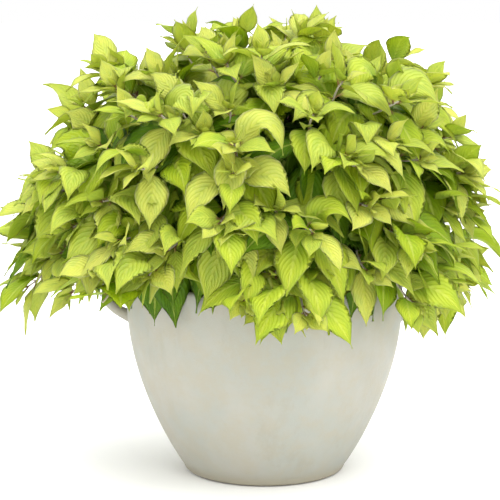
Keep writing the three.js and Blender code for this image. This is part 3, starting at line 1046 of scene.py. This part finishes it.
class SALVIA_OT_leaves(bpy.types.Operator):
    """Grow the leaves in opposite pairs, one piece for each shoot"""

    bl_idname = "salvia.leaves"
    bl_label = "Leaves"

    def execute(self, context):
        scene = context.scene
        growth = Growth(scene.salvia_plant, scene.salvia_pot, scene.salvia_soil)
        shape = LeafShape()
        leaf = scene.salvia_leaf
        material = leaf_material(leaf.young, leaf.grown, leaf.shaded)
        for index, main in enumerate(growth.mains):
            leaves = []
            for axis in [main] + growth.sides[index]:
                leaves += self.leaves_on(growth, shape, leaf, axis)
            number = shoot_names[index].split("_")[1]
            piece = self.leafy_piece(shape, leaves)
            finish_piece(piece, f"salvia_leaves_{number}", material, "salvia_leaf", f"shoot_{number}")
        return {"FINISHED"}

    @staticmethod
    def leaves_on(growth, shape, leaf, axis):
        made = []
        roll_start = 0.5 + 1.2 * vary(axis.order, 20)
        for order, (from_tip, size, lift, hang) in enumerate(PAIRS):
            from_tip = from_tip * (1 + 0.2 * vary(axis.order, 21 + order))
            if from_tip > min(axis.length - 0.02, 0.215):
                break
            base, along = axis.at(from_tip)
            outward = unit(base - growth.middle)
            across = unit(np.cross(along, np.array((0.02, 0.01, 1.0))))
            over = np.cross(across, along)
            depth = np.linalg.norm(base - growth.middle) / np.linalg.norm(axis.points[-1] - growth.middle)
            for opposite in (0, 1):
                seed = axis.order * 40 + order * 2 + opposite
                roll = roll_start + order * math.pi / 2 + opposite * math.pi + 0.35 * vary(seed, 30)
                sideways = math.cos(roll) * across + math.sin(roll) * over
                heading = unit(sideways + lift * along + 0.25 * outward + 0.12 * vary(seed, 31) * across)
                level = np.array((heading[0], heading[1], 0))
                skyward = np.array((0.4 * vary(seed, 35), 0.4 * vary(seed, 36) - 0.2, 0.8))
                facing = unit(0.35 * level + 0.95 * turned(outward, 0.8 * vary(seed, 39)) + skyward)
                this_size = size * (1 + 0.14 * vary(seed, 32))
                drooping = hang * (1 + 0.35 * vary(seed, 33))
                for droop in (drooping, 0.75 * drooping, 0.5 * drooping, 0.25 * drooping, 0.0):
                    corners = shape.bent(leaf, base, heading, facing, this_size, droop, seed)
                    if corners[:, 2].min() > growth.lowest_leaf(base):
                        break
                else:
                    continue
                # Tone grows with the pair's order, since older leaves are darker green, and with depth into
                # the mound as painted shade.
                tone = 0.02 + 0.10 * order + 3.2 * max(0.0, 0.88 - depth) + 0.24 * vary(seed, 34)
                made.append((corners, tone_step(tone)))
                if order < AXIL_FROM or vary(seed, 40) > AXIL_SHARE:
                    continue
                strayed = np.array((0, 0, 0.5)) + 0.3 * vary(seed, 37) * across
                rising = unit(0.7 * sideways + 0.8 * along + strayed)
                young_size = 0.42 + 0.14 * vary(seed, 38)
                inward = unit(facing - 0.6 * sideways)
                corners = shape.bent(leaf, base, rising, inward, young_size, 0.7, seed + 17)
                made.append((corners, tone_step(tone - 0.12)))
        return made

    @staticmethod
    def leafy_piece(shape, leaves):
        corners = np.concatenate([spots for spots, _ in leaves])
        faces = []
        for index in range(len(leaves)):
            offset = index * shape.count
            faces += [tuple(v + offset for v in face) for face in shape.faces]
        mesh = bpy.data.meshes.new("leaves")
        mesh.from_pydata(corners.tolist(), [], faces)
        tones = np.repeat([tone for _, tone in leaves], len(shape.faces))
        underside = np.tile(~shape.top, len(leaves))
        for name, values in (("tone", tones / (TONES - 1)), ("underside", underside)):
            mesh.attributes.new(name, "FLOAT", "FACE").data.foreach_set("value", values.astype(np.float32))
        along = shape.uv_along()
        loop_corner = np.zeros(len(mesh.loops), int)
        mesh.loops.foreach_get("vertex_index", loop_corner)
        local = loop_corner % shape.count
        u = 0.5 + 0.5 * shape.across[local]
        v = along[shape.ring[local]]
        mesh.uv_layers.new(name="leaf").data.foreach_set("uv", np.stack((u, v), 1).ravel())
        sizes = np.array([len(face) for face in shape.faces] * len(leaves))
        cell = np.repeat(tones * 2 + underside, sizes)
        used = 1 - 2 * ATLAS_MARGIN
        bake_u = (cell % ATLAS_CELLS + ATLAS_MARGIN + used * u) / ATLAS_CELLS
        bake_v = (cell // ATLAS_CELLS + ATLAS_MARGIN + used * v) / ATLAS_CELLS
        mesh.uv_layers.new(name="OFBake").data.foreach_set("uv", np.stack((bake_u, bake_v), 1).ravel())
        mesh.uv_layers["leaf"].active = True
        mesh.uv_layers["leaf"].active_render = True
        mesh.polygons.foreach_set("use_smooth", np.ones(len(mesh.polygons), bool))
        mesh.update()
        piece = bpy.data.objects.new("leaves", mesh)
        bpy.context.scene.collection.objects.link(piece)
        return piece


# ---------------------------------------------------------------- stage

FLOOR_SIZE = 30.0
FLOOR_DROP = 0.0005  # keeps the floor clear of the pot's underside
SENSOR_WIDTH = 36.0


def wide_light(name, place, spread, strength, colour):
    """A big soft light, far off in the direction of place."""
    data = bpy.data.lights.new(name, "SUN")
    data.angle = spread
    data.energy = strength
    data.color = colour
    light = bpy.data.objects.new(name, data)
    light.location = place
    light.rotation_euler = (-Vector(place)).to_track_quat("-Z", "Y").to_euler()
    bpy.context.scene.collection.objects.link(light)


def studio_world(fill):
    """White all round, which lights the plant less strongly than it shows."""
    world = bpy.data.worlds.new("studio")
    world.use_nodes = True
    world.node_tree.nodes.clear()
    graph = Graph(world.node_tree)
    dim = graph.node("ShaderNodeBackground", {"Color": (1, 1, 1, 1), "Strength": fill})
    shown = graph.node("ShaderNodeBackground", {"Color": (1, 1, 1, 1), "Strength": 1.0})
    seen = graph.node("ShaderNodeLightPath").outputs["Is Camera Ray"]
    both = graph.node("ShaderNodeMixShader", {0: seen, 1: dim.outputs[0], 2: shown.outputs[0]})
    graph.node("ShaderNodeOutputWorld", {"Surface": both.outputs[0]})
    return world


class SALVIA_OT_stage(bpy.types.Operator):
    """Set the pale floor, the soft studio light and the camera"""

    bl_idname = "salvia.stage"
    bl_label = "Stage"

    def execute(self, context):
        stage = context.scene.salvia_stage
        deselect()
        bpy.ops.mesh.primitive_plane_add(size=FLOOR_SIZE, location=(0, 0, -FLOOR_DROP))
        floor = context.object
        apply_place(floor)
        floor.name = "floor"
        material, graph = new_material("pale_floor")
        shader = graph.node("ShaderNodeBsdfDiffuse", {"Color": (0.93, 0.93, 0.93, 1)})
        graph.node("ShaderNodeOutputMaterial", {"Surface": shader.outputs[0]})
        floor.data.materials.append(material)
        context.scene.world = studio_world(stage.fill)
        wide_light("key", (0.8, -1.4, 2.6), math.radians(46), stage.key, (1.0, 0.99, 0.96))
        wide_light("top", (-0.2, 0.6, 3.0), math.radians(80), stage.top, (1.0, 1.0, 0.98))
        context.scene.view_settings.view_transform = "Standard"
        lens = bpy.data.cameras.new("camera")
        distance = math.hypot(stage.camera_distance, stage.camera_height - stage.aim_z)
        lens.sensor_width = SENSOR_WIDTH
        lens.lens = SENSOR_WIDTH * distance / stage.picture_width
        lens.clip_end = 50
        camera = bpy.data.objects.new("camera", lens)
        camera.location = (stage.aim_x, -stage.camera_distance, stage.camera_height)
        aim = Vector((stage.aim_x, 0, stage.aim_z))
        camera.rotation_euler = (aim - camera.location).to_track_quat("-Z", "Y").to_euler()
        context.scene.collection.objects.link(camera)
        context.scene.camera = camera
        return {"FINISHED"}


# ---------------------------------------------------------------- the add-on


class SALVIA_PT_panel(bpy.types.Panel):
    """Lists the steps that build the potted salvia"""

    bl_idname = "SALVIA_PT_panel"
    bl_label = "Potted salvia"
    bl_space_type = "VIEW_3D"
    bl_region_type = "UI"
    bl_category = "Salvia"

    def draw(self, context):
        for operator in OPERATORS:
            self.layout.operator(operator.bl_idname)
        for name in SETTINGS:
            box = self.layout.box()
            group = getattr(context.scene, name)
            for key in group.__annotations__:
                box.prop(group, key)


SETTINGS = {
    "salvia_pot": SalviaPotSettings,
    "salvia_soil": SalviaSoilSettings,
    "salvia_plant": SalviaPlantSettings,
    "salvia_leaf": SalviaLeafSettings,
    "salvia_stage": SalviaStageSettings,
}
OPERATORS = (SALVIA_OT_stage, SALVIA_OT_pot, SALVIA_OT_soil, SALVIA_OT_stems, SALVIA_OT_leaves)


def register():
    for name, group in SETTINGS.items():
        bpy.utils.register_class(group)
        setattr(bpy.types.Scene, name, bpy.props.PointerProperty(type=group))
    for operator in OPERATORS:
        bpy.utils.register_class(operator)
    bpy.utils.register_class(SALVIA_PT_panel)


def unregister():
    bpy.utils.unregister_class(SALVIA_PT_panel)
    for operator in reversed(OPERATORS):
        bpy.utils.unregister_class(operator)
    for name, group in SETTINGS.items():
        delattr(bpy.types.Scene, name)
        bpy.utils.unregister_class(group)


def main():
    register()
    bpy.ops.salvia.stage()
    bpy.ops.salvia.pot()
    bpy.ops.salvia.soil()
    bpy.ops.salvia.stems()
    bpy.ops.salvia.leaves()
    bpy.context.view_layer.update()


if __name__ == "__main__":
    main()
